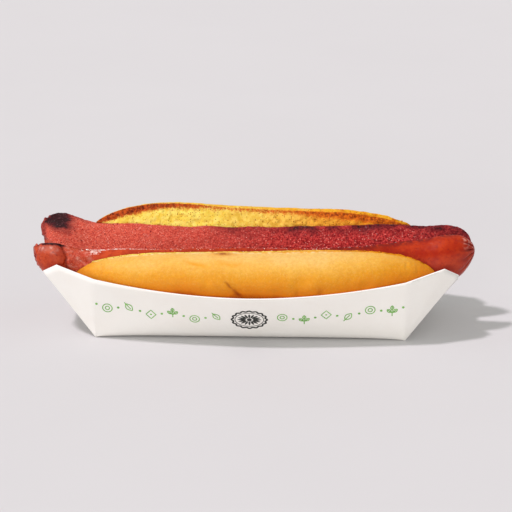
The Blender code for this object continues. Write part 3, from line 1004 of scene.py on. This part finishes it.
def leaf(lean, size=MOTIF):
    """Turned leaf with its middle vein: two bowed lines that meet in two points."""
    t = np.linspace(0, 1, 13)
    bow = np.sin(np.pi * t) * 0.30
    lines = (np.stack([t - 0.5, bow], -1), np.stack([t - 0.5, -bow], -1),
             np.stack([np.linspace(-0.7, 0.25, 7), np.zeros(7)], -1))
    turned = np.array(((math.cos(lean), math.sin(lean)), (-math.sin(lean), math.cos(lean))))
    return [ribbon(line @ turned * size) for line in lines]


def rings():
    """Two rings, one inside the other."""
    return [ring(MOTIF * r, MOTIF * r, 24) for r in (0.46, 0.2)]


def diamond():
    """Square on its point with a dot in it."""
    corners = ellipse(MOTIF * 0.48, MOTIF * 0.55, 4)
    side = np.linspace(0, 1, 5)[:-1, None]
    edge = np.concatenate([a + (b - a) * side for a, b in zip(corners, np.roll(corners, -1, axis=0))])
    return [ribbon(edge, closed=True), ring(0.22, 0.22, 8, 0.4)]


def sprig():
    """Short stem with three small leaves on it: how far along and up, and their turn."""
    strips = [ribbon(np.stack([np.zeros(5), np.linspace(-0.55, 0.2, 5) * MOTIF], -1))]
    for dx, dv, turn in ((-0.3, 0.05, 2.4), (0.3, 0.05, 0.75), (0.0, 0.4, 1.57)):
        strips += moved(leaf(turn, MOTIF * 0.5), dx * MOTIF, dv * MOTIF)
    return strips


def rosette():
    """Dark badge: a scalloped band, a thin ring inside it and sixteen petals round a dot."""
    wave = 1 + 0.05 * np.cos(np.linspace(0, 2 * np.pi, 128, endpoint=False) * 16)
    strips = [ribbon(ellipse(7.0, 5.3, 128) * wave[:, None], 0.75, True),
              ring(5.9, 4.2, 64, 0.28), ring(0.55, 0.45, 16, 0.9)]
    petal = 0.12 + 0.75 * np.sin(np.linspace(0.15, 3.0, 9))
    return strips + [ribbon(np.linspace(0.28, 0.9, 9)[:, None] * spoke, petal)
                     for spoke in ellipse(5.4, 3.8, 16)]


print("the badge has", len(rosette()), "strips")

# %% Lay the print on both walls
INK_LIFT, INK_DEPTH = 0.04, 0.03
PRINT_HEIGHT, PRINT_RISE, ZIGZAG = 12.6, 4.2, 1.1
MOTIF_COUNT, FIRST_MOTIF, MOTIF_PITCH = 6, 13.5, 9.0
LEAF_LEAN = 0.9


def on_wall(flat, side):
    """Point on a long wall: x stays, and the second number is the way up the wall from its foot."""
    foot, top = wall_lines(flat[:, 0])[:2]
    rise = upwards(foot, top)
    outwards = np.stack([rise[:, 0] * 0, -rise[:, 2], rise[:, 1]], axis=-1)
    return (waved(foot + rise * flat[:, 1:]) + outwards * INK_LIFT) * (1, -side, 1)


def print_piece(name, strips, light, dark):
    """All the ribbons of one ink on both walls, cloudy where less of it was laid down."""
    points, faces, count = [], [], 0
    for side in (-1, 1):
        for flat, quads in strips:
            points.append(on_wall(flat, side))
            faces.append((quads if side < 0 else quads[:, ::-1]) + count)
            count += len(flat)
    piece = add_piece("print_" + name, np.concatenate(points), np.concatenate(faces))
    thicken(piece, INK_DEPTH)
    piece.data.materials.append(plain_material(name + "_ink", dark, light, 0.55, 900)[0])
    print(piece.name, "has", len(piece.data.polygons), "quads before their thickness")
    return piece


def row_height(x):
    """Height of the line of drawings up the wall: it rises to both ends with the square of x."""
    return PRINT_HEIGHT + PRINT_RISE * (x / BASE_HALF_LENGTH) ** 2


motifs = []
for k, way in itertools.product(range(MOTIF_COUNT), (-1, 1)):
    drawing = (leaf(LEAF_LEAN * way), rings(), sprig(), diamond())[(k + (way > 0)) % 4]
    x = way * (FIRST_MOTIF + k * MOTIF_PITCH)
    motifs += moved(drawing, x, row_height(x) + ZIGZAG * (-1) ** k)
    x += way * MOTIF_PITCH / 2
    motifs += moved([ring(0.3, 0.3, 8, 0.5)], x, row_height(x))
green_print = print_piece("green", motifs, "8CC864", "62A83A")
dark_print = print_piece("badge", moved(rosette(), 0.0, PRINT_HEIGHT), "3A3C38", "1E201E")

# %% [markdown]
# ## Fat beads and crumbs
# Hot fat gathers in beads along the cut edge of the skin. Their near-white colour is pale fat and in
# part a painted highlight, so that they sparkle. Loose crumbs cling to the cut bread. Each kind is one
# mesh of many small closed shapes. One shape of a few dozen faces is worked out once, and every copy is
# that shape turned onto its own spot of the surface.

# %% Scatter small shapes
def pebble(rows, columns, seed, uneven):
    """Unit ball as a small grid, each point pushed in or out a little so that no side is alike."""
    down = np.linspace(0, np.pi, rows)[:, None]
    turn = np.linspace(0, 2 * np.pi, columns, endpoint=False)[None, :]
    ball = np.stack([np.sin(down) * np.cos(turn), np.sin(down) * np.sin(turn),
                     np.cos(down) + 0 * turn], axis=-1)
    ball *= (1 + uneven * noise(ball, 0.8, seed))[..., None]
    return ball.reshape(-1, 3), grid_faces(rows, columns)


def scatter(name, spots, normals, sizes, shape, look, masks=None):
    """Copies of a shape on spots: x of the shape lies along the bun, z stands on the surface."""
    ball, faces = shape
    along = np.cross((0.0, 1.0, 0.0), normals)
    along /= np.linalg.norm(along, axis=1, keepdims=True)
    axes = np.stack([along, np.cross(normals, along), normals], axis=1) * sizes[:, :, None]
    points = spots[:, None, :] + ball @ axes
    faces = faces + (np.arange(len(spots)) * len(ball))[:, None, None]
    masks = {label: np.repeat(values, len(ball)) for label, values in (masks or {}).items()}
    piece = finish_mesh(name, points + FOOD_SHIFT, faces.reshape(-1, 4), masks)
    piece.data.materials.append(look)
    return piece


drop, crumb_shape = pebble(6, 8, 1, 0.1), pebble(5, 6, 2, 0.5)
print("a bead has", len(drop[1]), "faces and a crumb", len(crumb_shape[1]))

# %% Beads of fat
# Each row of beads: which lobe, how many, x from and to, turn from and to, smallest and largest.
BEAD_ROWS = (
    ("near", 44, -67.5, -60.0, -0.12, 0.00, 0.10, 0.24),
    ("near", 34, -65.5, -61.0, 0.02, 0.15, 0.10, 0.26),
    ("near", 5, -69.6, -68.6, 0.00, 0.06, 0.10, 0.20),
    ("near", 90, -60.5, -36.0, -0.09, -0.02, 0.08, 0.17),
    ("near", 90, -38.0, 32.0, -0.16, 0.06, 0.07, 0.17),
    ("near", 18, 32.0, 62.0, -0.12, 0.02, 0.07, 0.15),
    ("near", 12, -72.0, 20.0, 0.05, 0.25, 0.07, 0.14),
    ("far", 26, -70.0, 60.0, -2.4, -0.2, 0.07, 0.12),
)


def fat_beads():
    """Beads along the near lobe's cut edge, most and largest at its left, and some on the far lobe."""
    rng = np.random.default_rng(501)
    spots, upright, sizes = [], [], []
    for lobe, count, x_from, x_to, turn_from, turn_to, small, large in BEAD_ROWS:
        shape, normal = (near_shape, near_normal) if lobe == "near" else (far_shape, far_normal)
        x = rng.uniform(x_from, x_to, count)
        turn = rng.uniform(turn_from, turn_to, count)
        column = np.round((turn + np.pi) / (2 * np.pi) * LOBE_COLUMNS).astype(int) % LOBE_COLUMNS
        row = np.abs(shape[:, :1, 0] - x).argmin(axis=0)
        size = rng.uniform(small, large, count)
        spots.append(shape[row, column])
        upright.append(normal[row, column])
        sizes.append(np.stack([size * rng.uniform(1.0, 2.4, count), size, size * 0.6], axis=-1))
    return np.concatenate(spots), np.concatenate(upright), np.concatenate(sizes)


# Half-set fat is pale and wet, a little cloudy; its near-white colour is also a painted highlight.
fat, r = material("pale_fat_painted_sparkle", Roughness=0.08, Coat_Weight=1.0, Coat_Roughness=0.03,
                  Specular_IOR_Level=0.8)
r.feed('Base Color', r.mix(r.blotches(500, 0.35, 0.65), "FFF0EA", "E69080"))
beads = scatter("fat_beads", *fat_beads(), drop, fat)

# %% Crumbs
CRUMBS = 150
HIGH_CRUMB, CRUMB_REACH = 33.0, 66.0
CRUMB_SMALLEST, CRUMB_LARGEST = 0.16, 0.42


def loose_crumbs():
    """Crumbs on the cut sides of both halves, among the high points that are open crumb."""
    rng = np.random.default_rng(502)
    spots = []
    for shape, crumb in ((back_shape, back_crumb), (front_shape, front_crumb)):
        places = shape[(crumb > 0.9) & (shape[..., 2] > HIGH_CRUMB)
                       & (np.abs(shape[..., 0]) < CRUMB_REACH)]
        spots.append(places[rng.integers(0, len(places), CRUMBS // 2)])
    upright = rng.normal(0, 1, (CRUMBS, 3))
    upright /= np.linalg.norm(upright, axis=1, keepdims=True)
    sizes = rng.uniform(CRUMB_SMALLEST, CRUMB_LARGEST, (CRUMBS, 3))
    return np.concatenate(spots), upright, sizes


spots, upright, sizes = loose_crumbs()
crumbs = scatter("bread_crumbs", spots, upright, sizes, crumb_shape, bread,
                 {"crumb": np.ones(CRUMBS), "warm": ease(*WARM_FROM_TO, spots[:, 0])})

# %% [markdown]
# ## Stage, light and camera
# A product shot is lit by one crisp lamp from high on the left, with a pale studio all round that
# fills its shadows. The floor is plain and pale. The camera looks down a little from the front, from
# far enough away to keep the shapes true.

# %% Floor
FLOOR_SIZE = 6000.0
FLOOR_DROP = 0.03

corners = np.array(((-1, -1, 0), (1, -1, 0), (1, 1, 0), (-1, 1, 0))) * FLOOR_SIZE
corners[:, 2] = -FLOOR_DROP
ground = finish_mesh("floor", corners, [(0, 1, 2, 3)])
ground.data.materials.append(plain_material("floor_paper", "D0CFD0", "CECDCE", 0.9, 6, 0.2, 0.8)[0])

# %% Light
# Each sun lamp: where it shines from, its strength, its spread in degrees and its colour.
LAMPS = (("key", (-0.52, -0.13, 1.0), 1.85, 6, (1.0, 0.92, 0.97)),
         ("front_fill", (-0.35, -1.0, 0.07), 1.1, 25, (1.0, 0.98, 0.95)))
LAMP_DISTANCE = 1.5
FILL_STRENGTH, FILL_COLOUR = 0.66, (1.0, 1.0, 0.975, 1)


def stand(name, data, place, towards):
    """Lamp or camera that stands at a place and looks back along the given direction."""
    holder = bpy.data.objects.new(name, data)
    holder.location = place
    holder.rotation_euler = towards.to_track_quat('Z', 'Y').to_euler()
    scene.collection.objects.link(holder)
    return holder


for name, towards, strength, spread, tint in LAMPS:
    light = bpy.data.lights.new(name, 'SUN')
    light.energy, light.angle, light.color = strength, math.radians(spread), tint
    stand(name, light, Vector(towards).normalized() * LAMP_DISTANCE, Vector(towards))
    print(name, "shines at", strength)
world = bpy.data.worlds.new("studio")
world.use_nodes = True
sky = world.node_tree.nodes["Background"].inputs
sky["Color"].default_value = FILL_COLOUR
sky["Strength"].default_value = FILL_STRENGTH
scene.world = world
scene.view_settings.view_transform = 'Standard'

# %% Camera
TARGET = Vector((1.6, 0.0, 27.7)) * MM
DISTANCE, ELEVATION, TURN = 1.1, math.radians(18), math.radians(2)
VIEW_WIDTH = 0.21504
SENSOR = 36.0

# The camera sits on a sphere round the target and looks at it, with the lens for the view's width.
camera = bpy.data.cameras.new("camera")
camera.sensor_width = SENSOR
camera.lens = SENSOR * DISTANCE / VIEW_WIDTH
back = Vector((math.sin(TURN) * math.cos(ELEVATION), -math.cos(TURN) * math.cos(ELEVATION),
               math.sin(ELEVATION)))
scene.camera = stand("camera", camera, TARGET + back * DISTANCE, back)
print("the lens is", round(camera.lens), "mm")

# %% [markdown]
# ## Hand over
# Every piece rides on the one body of this object, and the CAD solid that it stands for is hidden.

# %% Ride and replace
for pieces, node, slot in (([far, near, beads], "sausage", "grilled_sausage"),
                           ([front_bun, back_bun, crumbs], "bun", "golden_bread"),
                           ([tray, green_print, dark_print], "tray", "white_card")):
    for piece in pieces:
        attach(piece, "root")
        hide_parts(node)
